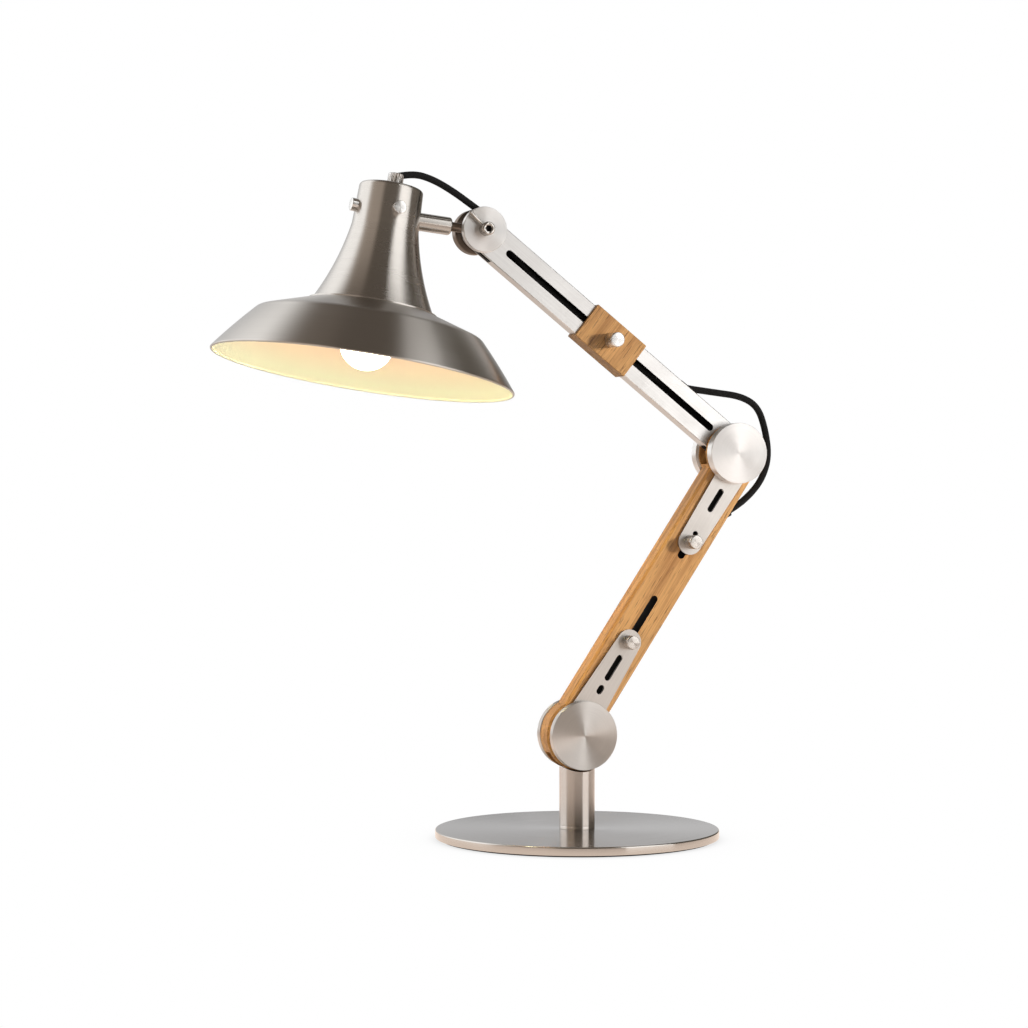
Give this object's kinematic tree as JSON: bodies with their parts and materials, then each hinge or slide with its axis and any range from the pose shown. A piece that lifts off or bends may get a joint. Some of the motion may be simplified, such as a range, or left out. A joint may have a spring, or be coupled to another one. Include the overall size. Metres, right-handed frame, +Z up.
{
  "type": "adjustable desk lamp",
  "caption": "Jointed desk lamp with a round steel foot, an oak lower arm, a slotted steel upper arm with an oak clamp block, and a flared spun shade on a tilting, turning stem.",
  "frame": {"origin": "middle of the foot's underside, on the table", "axes": "+Z up, the head reaches towards -X, the knobs are on the front, -Y"},
  "size_m": [0.4935, 0.2522, 0.559],
  "materials": {
    "satin_steel": "satin, brushed round",
    "bright_steel": "satin, brushed along",
    "polished_steel": "polished",
    "plain_steel": "plain",
    "oak": "oiled oak",
    "black_rubber": "matt",
    "friction": "matt",
    "flex": "woven black sleeve",
    "holder": "white",
    "brass": "plain",
    "bulb": "opal, lit"
  },
  "bodies": {
    "stand": {"base_pad": "black_rubber", "base_plate": "satin_steel", "base_bolt": "plain_steel", "post_foot": "satin_steel", "post_tube": "satin_steel", "mains_gland": "black_rubber", "shoulder_tongue": "plain_steel"},
    "lower_arm": {"oak_arm": "oak", "arm_bush": "black_rubber", "shoulder_bracket_front": "bright_steel", "shoulder_bracket_rear": "bright_steel", "elbow_bracket_front": "bright_steel", "elbow_bracket_rear": "bright_steel", "shoulder_disc_front": "satin_steel", "shoulder_disc_rear": "satin_steel", "elbow_disc_front": "satin_steel", "elbow_disc_rear": "satin_steel", "shoulder_bolt": "plain_steel", "elbow_bolt": "plain_steel", "shoulder_washers": "friction", "elbow_washers": "friction", "clamp_cap_nuts": "polished_steel", "flex_elbow": "flex"},
    "shoulder_knob": {"shoulder_knob": "polished_steel"},
    "elbow_knob": {"elbow_knob": "polished_steel"},
    "upper_arm": {"upper_arm_tube": "bright_steel", "tube_grommet": "black_rubber", "elbow_bush": "plain_steel", "head_disc_front": "satin_steel", "head_disc_rear": "satin_steel", "flex_arm": "flex"},
    "clamp_block": {"oak_block": "oak", "clamp_nut": "plain_steel"},
    "block_knob": {"block_knob": "polished_steel"},
    "tilt_clamp": {"tilt_clamp_screw": "polished_steel", "tilt_clamp_bar": "polished_steel"},
    "head_hub": {"hinge_hub": "plain_steel"},
    "head": {"stem": "satin_steel", "stem_nut": "plain_steel", "shade_neck": "satin_steel", "shade_dish": "satin_steel", "neck_screws": "polished_steel", "holder_bracket": "plain_steel", "lamp_holder": "holder", "bulb_cap": "brass", "bulb_glass": "bulb", "gland": "satin_steel", "gland_nut": "plain_steel", "flex_tail": "flex", "flex_head": "flex"}
  },
  "joints": [
    {"name": "shoulder", "type": "hinge", "parent": "stand", "child": "lower_arm", "pos_m": [0, 0, 0.088], "axis": [0, 1, 0], "range_deg": [-35, 35]},
    {"name": "shoulder_knob_turn", "type": "hinge", "parent": "lower_arm", "child": "shoulder_knob", "pos_m": [0.04258, 0, 0.1656], "axis": [0, 1, 0], "continuous": true},
    {"name": "elbow_knob_turn", "type": "hinge", "parent": "lower_arm", "child": "elbow_knob", "pos_m": [0.09862, 0, 0.2501], "axis": [0, 1, 0], "continuous": true},
    {"name": "elbow", "type": "hinge", "parent": "lower_arm", "child": "upper_arm", "pos_m": [0.14003, 0, 0.32595], "axis": [0, 1, 0], "range_deg": [-30, 60], "deforming": ["flex_elbow"]},
    {"name": "block_slide", "type": "slide", "parent": "upper_arm", "child": "clamp_block", "axis": [0.7851, 0, -0.6194], "range_m": [-0.085, 0.042]},
    {"name": "block_knob_turn", "type": "hinge", "parent": "clamp_block", "child": "block_knob", "pos_m": [0.02729, 0, 0.42101], "axis": [0, 1, 0], "continuous": true},
    {"name": "tilt_clamp_turn", "type": "hinge", "parent": "upper_arm", "child": "tilt_clamp", "pos_m": [-0.08656, 0, 0.51082], "axis": [0, 1, 0], "range_deg": [-150, 60]},
    {"name": "head_tilt", "type": "hinge", "parent": "upper_arm", "child": "head_hub", "pos_m": [-0.08656, 0, 0.51082], "axis": [0, 1, 0], "range_deg": [-25, 50], "deforming": ["flex_head"]},
    {"name": "head_swivel", "type": "hinge", "parent": "head_hub", "child": "head", "pos_m": [-0.08656, 0, 0.51082], "axis": [0.9938, 0, -0.1115], "range_deg": [-40, 40], "deforming": ["flex_head"]}
  ]
}
